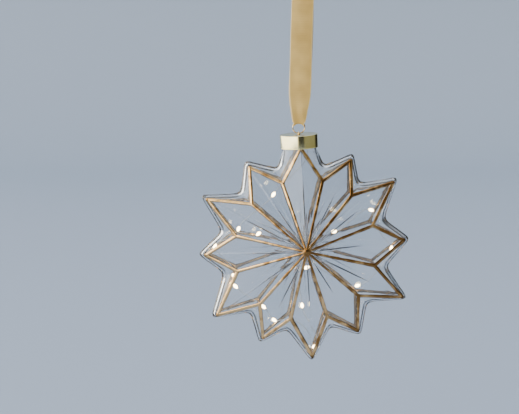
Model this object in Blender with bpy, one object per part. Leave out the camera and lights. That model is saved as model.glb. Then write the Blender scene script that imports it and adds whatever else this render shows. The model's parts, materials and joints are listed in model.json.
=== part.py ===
"""Hanging glass star with gold-lined edges, a push-in battery cap and fifteen small lights.

The blown glass star has twelve points, long and short in turn.  Each point is a kite that runs
from the middle of the face to the tip, and raised gold paint follows every edge, front and back.
A flat cap plugs into the glass neck and holds the cells, the timer board and its switch.
The star hangs from a wire eye, a ring and a looped satin ribbon.

Frame: metres, +Z up, front of the star towards -Y, origin inside the top of the ribbon loop.
"""

import math

import bmesh
import bpy
from mathutils import Vector

MM = 0.001

# ---- clearances -----------------------------------------------------------------------------
TOUCH = 0.3 * MM            # gap left between pieces that rest on each other
RING_PLAY = 0.35 * MM       # air round the ring wire inside the eye
SLOT_PLAY = 0.35 * MM       # air round the switch knob in its slot
HOLDER_PLAY = 0.35 * MM     # cells to the holder's wall
BOARD_PLAY = 0.7 * MM       # board to the cap's wall
FLANGE_PLAY = 0.5 * MM      # holder's flange to the cap's wall
NECK_PLAY = 1.2 * MM        # glass neck to the cap's wall
SLEEVE_SPACE = 1.3 * MM     # battery holder to the glass neck, filled by the soft sleeve

# ---- ribbon ---------------------------------------------------------------------------------
RIBBON_WIDTH = 18.3 * MM
RIBBON_FOLD_WIDTH = 7.4 * MM      # how far it gathers up where it threads the ring
RIBBON_THICK = 0.4 * MM
RIBBON_DROP = 113.25 * MM         # top of the loop down to the ring's upper wire
RIBBON_LEAN = -3.2 * MM           # the ring hangs this far to one side of the loop's top
RIBBON_LOOP_RADIUS = 3.0 * MM
RIBBON_FOLD_RADIUS = 1.7 * MM
RIBBON_GATHER = 20.0 * MM         # height over which it narrows

# ---- hanging ring and eye -------------------------------------------------------------------
RING_RADIUS = 5.0 * MM
RING_WIRE = 0.5 * MM
EYE_WIRE = 0.45 * MM
EYE_FOOT = 1.7 * MM               # how far each foot is turned out under the cap
RING_OVER_CAP = 0.35 * MM         # lowest part of the ring above the cap's top
HANG_TILT = math.radians(-3.0)    # the star hangs a little out of plumb

# ---- inside the cap -------------------------------------------------------------------------
BOARD_THICK = 0.6 * MM
BOARD_DROP = 1.9 * MM             # underside of the cap's top to the board
CONTACT_THICK = 0.2 * MM
CELL_RADIUS = 10.0 * MM
CELL_THICK = 2.5 * MM
HOLDER_WALL = 0.85 * MM
FLANGE_THICK = 0.8 * MM
LID_THICK = 0.8 * MM
SLEEVE_HEIGHT = 2.6 * MM
SLEEVE_DROP = 2.4 * MM            # holder's flange down to the sleeve
BUSH_RADIUS = 0.75 * MM
BUSH_ANGLE = math.radians(50.0)
BUSH_INSET = 0.5 * MM             # the bush stands this far inside the middle of the sleeve's gap
SWITCH_SIZE = (7.0 * MM, 2.6 * MM, 1.3 * MM)
KNOB_SIZE = (1.6 * MM, 3.4 * MM, 0.9 * MM)
KNOB_PROUD = 0.9 * MM             # how far the knob stands out of the cap
KNOB_TRAVEL = 2.0 * MM

# ---- glass ----------------------------------------------------------------------------------
POINTS = 12
GLASS_WALL = 1.2 * MM
LONG_POINT = 92.3 * MM            # middle of the face to the gold tip of a long point
SHORT_POINT = 83.3 * MM
NOTCH = 59.5 * MM                 # middle of the face to the gold corner between two points
RIM_OUT = 2.3 * MM                # the widest outline stands this far outside the gold tips
RIM_NOTCH_OUT = 12.8 * MM         # and this far outside the gold corners
FACE_DEPTH = 23.4 * MM            # middle of the face in front of the star's own plane
NOTCH_DEPTH = 12.3 * MM
TIP_DEPTH = 6.8 * MM
FLARE_ABOVE_NOTCH = 0.5 * MM      # where the neck has run out into the star
FLARE_INSIDE = 0.7 * MM           # and how far it has sunk below the notches' depth there
# hand-finished glass is not quite even: degrees each point and corner stands off its place
POINT_LEAN = (0, 0, 4, 1.5, 0, -0.5, 1, 2, 4, 0, -0.5, 1)
NOTCH_LEAN = (-1.5, 2, 1.5, -1.5, 0.5, 0, 0, 2, -1, 0, 1, 1)

# ---- cap ------------------------------------------------------------------------------------
CAP_HEIGHT = 11.2 * MM
CAP_WALL = 0.8 * MM
CAP_TOP_THICK = 1.0 * MM
CAP_EDGE = 0.35 * MM
CAP_OVER_NOTCH = 11.9 * MM        # lower edge of the cap above the circle of the rim's corners
NECK_POINT = 1.5 * MM             # how far the top point's gold tip runs up inside the cap
SHOULDER_OVER_CAP = 5.1 * MM      # where the shoulders below the neck would meet, above the cap

# ---- gold lines -----------------------------------------------------------------------------
LINE_WIDTH = 2.2 * MM
LINE_THICK = 0.5 * MM
LINE_OVERHANG = 0.8 * MM

# ---- light string ---------------------------------------------------------------------------
STRING_RADIUS = 0.25 * MM
STRING_PULL = 0.55               # how far the string holds its direction out of each light
BEAD_RADIUS = 1.3 * MM
BEAD_LENGTH = 3.4 * MM
# where each light sits, from the middle of the star: across and up in hundredths of the long
# point's reach, towards the front in hundredths of the face's depth
LIGHTS = (
    (-25.9, 21.4, 50.9),
    (-58.8, 15.0, 21.5),
    (-40.5, -25.6, 14.3),
    (-80.9, 4.3, 6.5),
    (-65.2, 21.4, -21.0),
    (-63.9, -17.1, -32.4),
    (-40.1, 21.4, -50.8),
    (-30.7, -8.5, -65.3),
    (4.7, 4.3, -91.4),
    (-4.3, -25.6, -54.2),
    (-0.1, 59.8, -15.5),
    (45.9, 25.6, -36.6),
    (78.7, 4.3, -5.5),
    (61.5, 17.1, 31.4),
    (26.2, 51.3, 15.3),
)

# runs that bow aside to pass an inner corner of the glass: light they lead to, and how far
STRING_BOWS = {4: (5.4, 0, 0), 8: (8.7, 0, 10.8), 13: (-7.6, 0, -1.1)}

# ---- sizes that follow from those above -------------------------------------------------------
# cell, holder, sleeve, glass neck and cap fit round each other
NECK_RADIUS = CELL_RADIUS + HOLDER_PLAY + HOLDER_WALL + SLEEVE_SPACE + GLASS_WALL
CAP_RADIUS = NECK_RADIUS + NECK_PLAY + CAP_WALL
RIM_LONG = LONG_POINT + RIM_OUT
RIM_SHORT = SHORT_POINT + RIM_OUT
RIM_NOTCH = NOTCH + RIM_NOTCH_OUT
CAP_ABOVE_CENTRE = RIM_NOTCH + CAP_OVER_NOTCH + CAP_HEIGHT   # to the top of the cap
RIM_NECK = CAP_ABOVE_CENTRE + SHOULDER_OVER_CAP
FLARE_HEIGHT = NOTCH + FLARE_ABOVE_NOTCH
FLARE_DEPTH = NOTCH_DEPTH - FLARE_INSIDE


# ---- small helpers --------------------------------------------------------------------------
def material(name, color, roughness, metallic=0.0, alpha=1.0):
    """A named Principled material."""
    found = bpy.data.materials.get(name)
    if found:
        return found
    made = bpy.data.materials.new(name)
    made.use_nodes = True
    shader = made.node_tree.nodes["Principled BSDF"]
    shader.inputs["Base Color"].default_value = (*color, 1.0)
    shader.inputs["Roughness"].default_value = roughness
    shader.inputs["Metallic"].default_value = metallic
    shader.inputs["Alpha"].default_value = alpha
    return made


def place(obj, parent, location=(0, 0, 0), rotation=(0, 0, 0), mat=None):
    """Hang an object on its parent empty and give it a material."""
    obj.parent = parent
    obj.location = location
    obj.rotation_euler = rotation
    if mat:
        obj.data.materials.clear()
        obj.data.materials.append(mat)
    return obj


def mesh_object(name, bm, parent, mat, location=(0, 0, 0), rotation=(0, 0, 0), smooth=None):
    """Turn a bmesh into a named object; smooth is the angle above which edges stay sharp."""
    mesh = bpy.data.meshes.new(name)
    bm.to_mesh(mesh)
    bm.free()
    if smooth is not None:
        mesh.shade_smooth()
        mesh.set_sharp_from_angle(angle=math.radians(smooth))
    obj = bpy.data.objects.new(name, mesh)
    bpy.context.collection.objects.link(obj)
    return place(obj, parent, location, rotation, mat)


def empty(name, parent, location, rotation=(0, 0, 0)):
    """An axis or frame that pieces hang on."""
    obj = bpy.data.objects.new(name, None)
    bpy.context.collection.objects.link(obj)
    obj.parent = parent
    obj.location = location
    obj.rotation_euler = rotation
    return obj


def turned(profile, steps):
    """A closed (radius, height) outline spun round Z."""
    bm = bmesh.new()
    verts = [bm.verts.new((r, 0.0, z)) for r, z in profile]
    edges = [bm.edges.new((verts[i], verts[(i + 1) % len(verts)])) for i in range(len(verts))]
    bmesh.ops.spin(
        bm,
        geom=verts + edges,
        cent=(0, 0, 0),
        axis=(0, 0, 1),
        angle=math.tau,
        steps=steps,
        use_merge=True,
    )
    bmesh.ops.remove_doubles(bm, verts=bm.verts, dist=1e-6)
    loose = [f for f in bm.faces if f.calc_area() < 1e-14]
    bmesh.ops.delete(bm, geom=loose, context="FACES_ONLY")
    stray = [e for e in bm.edges if not e.link_faces]
    bmesh.ops.delete(bm, geom=stray, context="EDGES")
    bmesh.ops.recalc_face_normals(bm, faces=bm.faces)
    return bm


def block(size):
    """A box centred on its own origin."""
    bm = bmesh.new()
    bmesh.ops.create_cube(bm, size=1.0)
    bmesh.ops.scale(bm, vec=size, verts=bm.verts)
    return bm


def softened(bm, width):
    """The same box with its edges broken."""
    bmesh.ops.bevel(bm, geom=bm.edges[:], offset=width, segments=1, affect="EDGES")
    return bm


def rod(radius, length, steps):
    """A cylinder centred on its own origin, along Z."""
    bm = bmesh.new()
    bmesh.ops.create_cone(
        bm, cap_ends=True, segments=steps, radius1=radius, radius2=radius, depth=length
    )
    return bm


def cut(target, cutter, operation="DIFFERENCE"):
    """Cut, or join, one object with another that is then only a guide."""
    cutter.hide_render = True
    cutter.display_type = "WIRE"
    modifier = target.modifiers.new(cutter.name, "BOOLEAN")
    modifier.operation = operation
    modifier.solver = "EXACT"
    modifier.object = cutter


def wire(name, points, radius, parent, mat, closed=False, resolution=2):
    """A round wire through the given points."""
    curve = bpy.data.curves.new(name, "CURVE")
    curve.dimensions = "3D"
    curve.bevel_depth = radius
    curve.bevel_resolution = resolution
    curve.use_fill_caps = True
    spline = curve.splines.new("POLY")
    spline.points.add(len(points) - 1)
    for target, point in zip(spline.points, points):
        target.co = (*point, 1.0)
    spline.use_cyclic_u = closed
    obj = bpy.data.objects.new(name, curve)
    bpy.context.collection.objects.link(obj)
    return place(obj, parent, mat=mat)


for old in list(bpy.data.objects):
    bpy.data.objects.remove(old, do_unlink=True)

SATIN = material("satin_ribbon", (0.72, 0.55, 0.33), 0.5)
WIRE_GOLD = material("gold_wire", (0.80, 0.62, 0.32), 0.25, 1.0)
CAP_GOLD = material("champagne_metal", (0.86, 0.80, 0.58), 0.22, 1.0)
GLASS = material("clear_glass", (0.86, 0.90, 0.94), 0.03, 0.0, 0.25)
LINE_GOLD = material("gold_paint", (0.72, 0.47, 0.22), 0.35, 0.9)
BOARD_GREEN = material("circuit_board_green", (0.03, 0.22, 0.10), 0.5)
PLASTIC_WHITE = material("white_plastic", (0.85, 0.84, 0.80), 0.45)
PLASTIC_BLACK = material("black_plastic", (0.03, 0.03, 0.03), 0.4)
RUBBER = material("clear_rubber", (0.70, 0.70, 0.68), 0.6)
STEEL = material("bright_steel", (0.75, 0.75, 0.75), 0.25, 1.0)
BRASS = material("contact_brass", (0.80, 0.62, 0.30), 0.3, 1.0)
CERAMIC = material("ceramic_chip", (0.75, 0.70, 0.60), 0.5)
SILVER = material("silver_wire", (0.82, 0.82, 0.82), 0.3, 1.0)
LIGHT = material("warm_light_drop", (1.0, 0.86, 0.60), 0.2)

# ---- frames: the ring's upper wire, the ring's lower wire, and the middle of the star ---------
ring_axis = empty("ring_axis", None, (RIBBON_LEAN, 0, -RIBBON_DROP))
hang_axis = empty("hang_axis", ring_axis, (0, 0, -2 * RING_RADIUS), (0, HANG_TILT, 0))
ring_above_cap = RING_OVER_CAP + RING_WIRE
star = empty("star_middle", hang_axis, (0, 0, -ring_above_cap - CAP_ABOVE_CENTRE))


# ---- ribbon: one closed loop of satin that threads the ring ---------------------------------
def ribbon_path():
    """Height, front-to-back place and outward direction once round the loop."""
    top = -RIBBON_LOOP_RADIUS
    low = -RIBBON_DROP + RIBBON_FOLD_RADIUS * 0.2
    path = []
    for step in range(7):
        angle = math.pi * step / 6
        path.append((top + RIBBON_LOOP_RADIUS * math.sin(angle), -RIBBON_LOOP_RADIUS * math.cos(angle)))
    down = 14
    for step in range(1, down):
        share = step / down
        depth = RIBBON_LOOP_RADIUS + (RIBBON_FOLD_RADIUS - RIBBON_LOOP_RADIUS) * share
        path.append((top + (low - top) * share, depth))
    for step in range(7):
        angle = math.pi * step / 6
        path.append((low - RIBBON_FOLD_RADIUS * math.sin(angle), RIBBON_FOLD_RADIUS * math.cos(angle)))
    for step in range(1, down):
        share = 1 - step / down
        depth = RIBBON_LOOP_RADIUS + (RIBBON_FOLD_RADIUS - RIBBON_LOOP_RADIUS) * share
        path.append((top + (low - top) * share, -depth))
    return path


def ribbon_point(height, depth, across):
    """A point of the band: it narrows, leans and arches over the ring's wire near the bottom."""
    above_ring = max(0.0, height + RIBBON_DROP)
    open_share = min(1.0, above_ring / RIBBON_GATHER)
    open_share = open_share * open_share * (3 - 2 * open_share)
    width = RIBBON_FOLD_WIDTH + (RIBBON_WIDTH - RIBBON_FOLD_WIDTH) * open_share
    x = across * width
    drop = RING_RADIUS - math.sqrt(max(RING_RADIUS**2 - x * x, 0.0)) if open_share < 0.5 else 0.0
    arch = drop * (1 - min(1.0, open_share * 2))
    lean = RIBBON_LEAN * min(1.0, -height / RIBBON_DROP)
    return Vector((x + lean, depth, height - arch))


def ribbon():
    """The band as a closed strip, given its thickness by Solidify."""
    bm = bmesh.new()
    columns = 6
    rows = []
    for height, depth in ribbon_path():
        line = [bm.verts.new(ribbon_point(height, depth, c / columns - 0.5)) for c in range(columns + 1)]
        rows.append(line)
    for row in range(len(rows)):
        here = rows[row]
        after = rows[(row + 1) % len(rows)]
        for c in range(columns):
            bm.faces.new((here[c], here[c + 1], after[c + 1], after[c]))
    obj = mesh_object("ribbon", bm, None, SATIN, smooth=60)
    thick = obj.modifiers.new("thickness", "SOLIDIFY")
    thick.thickness = RIBBON_THICK
    thick.offset = 1.0
    return obj


ribbon()

# ---- ring and eye ---------------------------------------------------------------------------
ring_points = []
for step in range(40):
    angle = math.tau * step / 40
    ring_points.append((RING_RADIUS * math.sin(angle), 0, -RING_RADIUS + RING_RADIUS * math.cos(angle)))
wire("hanger_ring", ring_points, RING_WIRE, ring_axis, WIRE_GOLD, closed=True)

eye_half = RING_WIRE + RING_PLAY + EYE_WIRE
eye_spring = CAP_ABOVE_CENTRE + ring_above_cap + RING_WIRE + TOUCH + EYE_WIRE - eye_half
eye_foot_height = CAP_ABOVE_CENTRE - CAP_TOP_THICK - TOUCH - EYE_WIRE
eye_points = [(0, -eye_half - EYE_FOOT, eye_foot_height)]
eye_points.append((0, -eye_half - EYE_WIRE, eye_foot_height))
eye_points.append((0, -eye_half, eye_foot_height + EYE_WIRE))
for step in range(13):
    angle = math.pi * step / 12
    eye_points.append((0, -eye_half * math.cos(angle), eye_spring + eye_half * math.sin(angle)))
eye_points += [(x, -y, z) for x, y, z in reversed(eye_points[:3])]
wire("hanger_eye", eye_points, EYE_WIRE, star, WIRE_GOLD)

# ---- cap shell --------------------------------------------------------------------------------
cap_top = CAP_ABOVE_CENTRE
cap_base = cap_top - CAP_HEIGHT
cap_under = cap_top - CAP_TOP_THICK
cap_bore = CAP_RADIUS - CAP_WALL
cap = mesh_object(
    "cap_shell",
    turned(
        [
            (0, cap_top),
            (CAP_RADIUS - CAP_EDGE, cap_top),
            (CAP_RADIUS, cap_top - CAP_EDGE),
            (CAP_RADIUS, cap_base),
            (cap_bore, cap_base),
            (cap_bore, cap_under),
            (0, cap_under),
        ],
        64,
    ),
    star,
    CAP_GOLD,
    smooth=30,
)
for side in (-1, 1):
    hole = rod(EYE_WIRE + RING_PLAY, CAP_TOP_THICK * 3, 16)
    cut(cap, mesh_object(f"eye_hole_{side}", hole, star, None, (0, side * eye_half, cap_under)))

# ---- timer board, its parts and the slide switch ----------------------------------------------
board_top = cap_under - BOARD_DROP
board_under = board_top - BOARD_THICK
board_radius = cap_bore - BOARD_PLAY
mesh_object(
    "circuit_board",
    rod(board_radius, BOARD_THICK, 40),
    star,
    BOARD_GREEN,
    (0, 0, (board_top + board_under) / 2),
)


def on_board(name, size, at, mat, edge=0.15 * MM):
    """A part that sits on the board."""
    height = board_top + TOUCH + size[2] / 2
    return mesh_object(name, softened(block(size), edge), star, mat, (at[0], at[1], height))


on_board("timer_chip", (3.9 * MM, 4.9 * MM, 1.2 * MM), (-7.5 * MM, -1.0 * MM), PLASTIC_BLACK)
on_board("timing_crystal", (3.2 * MM, 1.5 * MM, 0.8 * MM), (7.5 * MM, 2.5 * MM), STEEL)
on_board("series_resistor", (1.6 * MM, 0.8 * MM, 0.5 * MM), (7.5 * MM, -2.5 * MM), CERAMIC, 0.08 * MM)

knob_seat = CAP_RADIUS + KNOB_PROUD - KNOB_SIZE[1] / 2
switch_y = knob_seat - KNOB_SIZE[1] / 2 - TOUCH - SWITCH_SIZE[1] / 2
on_board("switch_body", SWITCH_SIZE, (0, switch_y), STEEL, 0.12 * MM)
knob_height = board_top + TOUCH + SWITCH_SIZE[2] / 2
mesh_object(
    "switch_knob",
    softened(block(KNOB_SIZE), 0.15 * MM),
    star,
    PLASTIC_BLACK,
    (0, knob_seat, knob_height),
)
slot_size = (
    KNOB_SIZE[0] + 2 * KNOB_TRAVEL + 2 * SLOT_PLAY,
    CAP_WALL * 5,
    KNOB_SIZE[2] + 2 * SLOT_PLAY,
)
cut(cap, mesh_object("switch_slot", block(slot_size), star, None, (0, CAP_RADIUS, knob_height)))

# ---- cells between their contacts, in the holder that plugs into the neck ----------------------
plus_under = board_under - TOUCH - CONTACT_THICK
upper_cell_top = plus_under - TOUCH
lower_cell_top = upper_cell_top - CELL_THICK - TOUCH
minus_top = lower_cell_top - CELL_THICK - TOUCH
lid_top = minus_top - CONTACT_THICK - TOUCH
lid_under = lid_top - LID_THICK
pocket = CELL_RADIUS + HOLDER_PLAY
holder_radius = pocket + HOLDER_WALL
flange_top = upper_cell_top
flange_under = flange_top - FLANGE_THICK
flange_radius = cap_bore - FLANGE_PLAY
neck_bore = NECK_RADIUS - GLASS_WALL
bush_reach = (holder_radius + neck_bore) / 2 - BUSH_INSET
bush_at = Vector((bush_reach * math.cos(BUSH_ANGLE), bush_reach * math.sin(BUSH_ANGLE), 0))


def contact(name, top):
    """A bent strip of springy brass."""
    size = (13.0 * MM, 4.0 * MM, CONTACT_THICK)
    mesh_object(name, block(size), star, BRASS, (0, 0, top - CONTACT_THICK / 2))


def cell(name, top):
    """A coin cell: a wide can with a smaller crimped lower face."""
    step = CELL_RADIUS * 0.88
    outline = [
        (0, top),
        (CELL_RADIUS - 0.3 * MM, top),
        (CELL_RADIUS, top - 0.3 * MM),
        (CELL_RADIUS, top - CELL_THICK + 0.5 * MM),
        (CELL_RADIUS - 0.4 * MM, top - CELL_THICK + 0.25 * MM),
        (step, top - CELL_THICK + 0.25 * MM),
        (step - 0.2 * MM, top - CELL_THICK),
        (0, top - CELL_THICK),
    ]
    mesh_object(name, turned(outline, 32), star, STEEL, smooth=30)


contact("contact_plus", plus_under + CONTACT_THICK)
cell("cell_upper", upper_cell_top)
cell("cell_lower", lower_cell_top)
contact("contact_minus", minus_top)

holder_outline = [
    (pocket, flange_top),
    (flange_radius, flange_top),
    (flange_radius, flange_under),
    (holder_radius, flange_under),
    (holder_radius, lid_under),
    (pocket, lid_under),
]
holder = mesh_object("battery_holder", turned(holder_outline, 40), star, PLASTIC_WHITE, smooth=30)
notch_radius = BUSH_RADIUS + TOUCH
wire_notch = rod(notch_radius, 30 * MM, 16)
cut(holder, mesh_object("wire_notch", wire_notch, star, None, (bush_at.x, bush_at.y, lid_under)))

lid = mesh_object(
    "battery_lid",
    turned(
        [
            (0, lid_top),
            (pocket - TOUCH, lid_top),
            (pocket - TOUCH, lid_under + 0.2 * MM),
            (pocket - TOUCH - 0.2 * MM, lid_under),
            (0, lid_under),
        ],
        32,
    ),
    star,
    PLASTIC_WHITE,
    smooth=30,
)
coin_slot = block((11.0 * MM, 1.5 * MM, 0.8 * MM))
cut(lid, mesh_object("coin_slot", coin_slot, star, None, (0, 0, lid_under)))

sleeve_top = flange_under - SLEEVE_DROP
sleeve = mesh_object(
    "neck_sleeve",
    turned(
        [
            (holder_radius + TOUCH, sleeve_top),
            (neck_bore - TOUCH, sleeve_top),
            (neck_bore - TOUCH, sleeve_top - SLEEVE_HEIGHT),
            (holder_radius + TOUCH, sleeve_top - SLEEVE_HEIGHT),
        ],
        40,
    ),
    star,
    RUBBER,
    smooth=30,
)
sleeve_gap = rod(notch_radius + TOUCH, 12 * MM, 16)
cut(sleeve, mesh_object("sleeve_gap", sleeve_gap, star, None, (bush_at.x, bush_at.y, sleeve_top)))

bush_outline = [
    (STRING_RADIUS + TOUCH, sleeve_top),
    (BUSH_RADIUS, sleeve_top),
    (BUSH_RADIUS, sleeve_top - SLEEVE_HEIGHT),
    (STRING_RADIUS + TOUCH, sleeve_top - SLEEVE_HEIGHT),
]
mesh_object("wire_bush", turned(bush_outline, 16), star, RUBBER, (bush_at.x, bush_at.y, 0), smooth=30)


# ---- glass star -------------------------------------------------------------------------------
def point_angle(k):
    """Direction of point k, counted clockwise from the top."""
    k %= POINTS
    return math.radians(90 - 360 / POINTS * k + POINT_LEAN[k])


def notch_angle(k):
    """Direction of the corner between point k and the next one."""
    k %= POINTS
    return math.radians(90 - 360 / POINTS * (k + 0.5) + NOTCH_LEAN[k])


def polar(radius, angle, depth):
    """A point of the star; depth is towards the front."""
    return Vector((radius * math.cos(angle), -depth, radius * math.sin(angle)))


def corner_inset(tip, notch, wall):
    """How far a wall's inner corner lies inside its outer one, for a tip and for a notch."""
    half = math.pi / POINTS
    edge = Vector((notch * math.cos(half) - tip, notch * math.sin(half)))
    tip_half = math.atan2(edge.y, -edge.x)
    notch_half = math.pi - half - tip_half
    return wall / math.sin(tip_half), wall / math.sin(notch_half)


def star_body(wall):
    """The closed star, or its hollow when wall is the glass thickness."""
    bm = bmesh.new()
    face_in = wall * 1.02
    long_tip, notch_in = corner_inset(LONG_POINT, NOTCH, wall)
    short_tip, _ = corner_inset(SHORT_POINT, NOTCH, wall)
    rim_long, rim_notch_in = corner_inset(RIM_LONG, RIM_NOTCH, wall)
    rim_short, _ = corner_inset(RIM_SHORT, RIM_NOTCH, wall)
    middle = [bm.verts.new((0, -s * (FACE_DEPTH - face_in), 0)) for s in (1, -1)]
    tips, notches, rims, rim_notches = [], [], [], []
    for k in range(POINTS):
        is_long = k % 2 == 0
        reach = LONG_POINT - long_tip if is_long else SHORT_POINT - short_tip
        rim = RIM_LONG - rim_long if is_long else RIM_SHORT - rim_short
        depth = TIP_DEPTH - face_in
        if k == 0:
            reach = cap_base + NECK_POINT
            rim = RIM_NECK - rim_long
            depth = NECK_RADIUS - face_in
        angle = point_angle(k)
        tips.append([bm.verts.new(polar(reach, angle, s * depth)) for s in (1, -1)])
        rims.append(bm.verts.new(polar(rim, angle, 0)))
        angle = notch_angle(k)
        corner = NOTCH - notch_in
        deep = NOTCH_DEPTH - face_in
        notches.append([bm.verts.new(polar(corner, angle, s * deep)) for s in (1, -1)])
        rim_notches.append(bm.verts.new(polar(RIM_NOTCH - rim_notch_in, angle, 0)))
    for k in range(POINTS):
        for side in (0, 1):
            for notch, rim_notch in ((k - 1, k - 1), (k, k)):
                n = notches[notch % POINTS][side]
                t = tips[k][side]
                bm.faces.new((middle[side], n, t))
                bm.faces.new((n, rim_notches[rim_notch % POINTS], t))
                bm.faces.new((rim_notches[rim_notch % POINTS], rims[k], t))
    bmesh.ops.recalc_face_normals(bm, faces=bm.faces)
    return bm


def neck_body(wall, top):
    """The round neck, running out into the star as its depth falls away."""
    bm = bmesh.new()
    radius = NECK_RADIUS - wall
    levels = [
        (top, radius, radius),
        (cap_base, radius, radius),
        ((cap_base + FLARE_HEIGHT) / 2, radius - 0.5 * MM, (radius + FLARE_DEPTH - wall) / 2),
        (FLARE_HEIGHT, radius - 1.2 * MM, FLARE_DEPTH - wall),
    ]
    steps = 48
    rings = []
    for height, across, deep in levels:
        ring = []
        for i in range(steps):
            angle = math.tau * i / steps
            ring.append(bm.verts.new((across * math.cos(angle), deep * math.sin(angle), height)))
        rings.append(ring)
    for upper, lower in zip(rings, rings[1:]):
        for i in range(steps):
            j = (i + 1) % steps
            bm.faces.new((upper[i], upper[j], lower[j], lower[i]))
    bm.faces.new(rings[0])
    bm.faces.new(rings[-1])
    bmesh.ops.recalc_face_normals(bm, faces=bm.faces)
    return bm


neck_rim = flange_under - TOUCH
star_glass = mesh_object("glass_star", star_body(0.0), star, GLASS)
trim_height = 20 * MM
trim = block((60 * MM, 60 * MM, trim_height))
cut(star_glass, mesh_object("neck_trim", trim, star, None, (0, 0, neck_rim + trim_height / 2 - TOUCH)))
cut(star_glass, mesh_object("neck_outside", neck_body(0.0, neck_rim), star, None), "UNION")
cut(star_glass, mesh_object("star_hollow", star_body(GLASS_WALL), star, None))
open_top = neck_rim + 2 * MM
cut(star_glass, mesh_object("neck_hollow", neck_body(GLASS_WALL, open_top), star, None))


# ---- gold lines --------------------------------------------------------------------------------
def thickened(sheet, lifts, faces):
    """Close a sheet of faces into a solid by lifting each point along its own direction."""
    bm = bmesh.new()
    low = [bm.verts.new(point) for point in sheet]
    high = [bm.verts.new(point + lift) for point, lift in zip(sheet, lifts)]
    edges = {}
    for face in faces:
        bm.faces.new([high[i] for i in face])
        bm.faces.new([low[i] for i in reversed(face)])
        for a, b in zip(face, face[1:] + face[:1]):
            edges[(a, b)] = True
    for a, b in edges:
        if (b, a) not in edges:
            bm.faces.new((low[a], low[b], high[b], high[a]))
    bmesh.ops.recalc_face_normals(bm, faces=bm.faces)
    return bm


def inset_corner(point, first, second, distance):
    """The corner of a flat outline moved inwards from both its edges."""
    a = (first - point).normalized()
    b = (second - point).normalized()
    bisector = (a + b).normalized()
    return point + bisector * (distance / math.sin(a.angle(bisector)))


def depth_on(point, corners):
    """Depth of a flat point on the plane through three corners given as (flat, depth)."""
    (a, da), (b, db), (c, dc) = corners
    ab, ac, ap = b - a, c - a, point - a
    area = ab.x * ac.y - ab.y * ac.x
    v = (ap.x * ac.y - ap.y * ac.x) / area
    w = (ab.x * ap.y - ab.y * ap.x) / area
    return da + (db - da) * v + (dc - da) * w


def gold_lines(name, side):
    """Every painted edge of one face as a single web, side is 1 at the front and -1 behind."""
    half = LINE_WIDTH / 2
    flat, depths, outer, faces = [], [], [], []

    def add(point, depth, is_outer=False):
        flat.append(Vector((point.x, point.y)))
        depths.append(depth)
        outer.append(is_outer)
        return len(flat) - 1

    def flat_polar(radius, angle):
        return Vector((radius * math.cos(angle), radius * math.sin(angle)))

    middle = add(Vector((0, 0)), FACE_DEPTH)
    notches = [add(flat_polar(NOTCH, notch_angle(k)), NOTCH_DEPTH) for k in range(POINTS)]
    for k in range(POINTS):
        reach = LONG_POINT if k % 2 == 0 else SHORT_POINT
        depth = TIP_DEPTH
        if k == 0:
            reach = cap_base + NECK_POINT
            depth = NECK_RADIUS
        tip = add(flat_polar(reach, point_angle(k)), depth)
        before, after = notches[k - 1], notches[k]
        crease = [(flat[middle], FACE_DEPTH), (flat[tip], depth)]
        window = {}
        for corner, first, second in (
            (middle, before, after),
            (before, middle, tip),
            (tip, before, after),
            (after, tip, middle),
        ):
            spot = inset_corner(flat[corner], flat[first], flat[second], half)
            third = before if corner in (before, middle, tip) else after
            window[corner] = add(spot, depth_on(spot, crease + [(flat[third], NOTCH_DEPTH)]))
        for a, b in ((middle, before), (before, tip), (tip, after), (after, middle)):
            faces.append([a, b, window[b], window[a]])
        # the part of each line that turns over the outer edge
        reach_out = LINE_OVERHANG if k else LINE_OVERHANG * 0.5
        out = (flat[tip] - flat[middle]).normalized()
        sides = []
        for notch in (before, after):
            along = (flat[tip] - flat[notch]).normalized()
            normal = Vector((along.y, -along.x))
            if normal.dot(out) < 0:
                normal = -normal
            sides.append(add(flat[tip] + normal * reach_out, depth, True))
        end = add(flat[tip] + out * reach_out, depth, True)
        faces.append([tip, sides[0], end])
        faces.append([tip, end, sides[1]])
        overs[k] = (before, tip, after, sides)
    for k in range(POINTS):
        notch = notches[k]
        radial = (flat[notch] - flat[middle]).normalized()
        shoulder = add(flat[notch] + radial * LINE_OVERHANG * 1.3, NOTCH_DEPTH, True)
        _, tip, _, sides = overs[k]
        faces.append([notch, shoulder, sides[1], tip])
        _, tip, _, sides = overs[(k + 1) % POINTS]
        faces.append([shoulder, notch, tip, sides[0]])

    # every face the same way round, seen from the front
    for face in faces:
        area = sum(
            flat[a].x * flat[b].y - flat[b].x * flat[a].y for a, b in zip(face, face[1:] + face[:1])
        )
        if area < 0:
            face.reverse()
    gap = TOUCH + 0.06 * MM
    sheet = [Vector((p.x, -side * (d + gap), p.y)) for p, d in zip(flat, depths)]
    lift = Vector((0, -side * LINE_THICK, 0))
    bm = thickened(sheet, [lift] * len(sheet), faces)
    mesh_object(name, bm, star, LINE_GOLD)


overs = {}
gold_lines("front_gold_lines", 1)
gold_lines("back_gold_lines", -1)


# ---- light string ------------------------------------------------------------------------------
def share_of_star(across, front, up):
    """A step given in hundredths of the star's reach and of its face's depth."""
    return Vector((across * LONG_POINT, -front * FACE_DEPTH, up * LONG_POINT)) / 100


def light_place(k):
    """Middle of light k."""
    return share_of_star(*LIGHTS[k])


def light_direction(k):
    """Which way the string runs through light k."""
    before = light_place(k - 1) if k else light_place(0) + Vector((8, 10, 22)) * MM
    after = light_place(k + 1) if k + 1 < len(LIGHTS) else light_place(k) + Vector((-6, 0, 8)) * MM
    return (after - before).normalized()


def hermite(a, b, at_a, at_b, share):
    """A smooth run from a to b that leaves and arrives along the given directions."""
    s = share
    h = (2 * s**3 - 3 * s**2 + 1, s**3 - 2 * s**2 + s, -2 * s**3 + 3 * s**2, s**3 - s**2)
    return a * h[0] + at_a * h[1] + b * h[2] + at_b * h[3]


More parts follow.
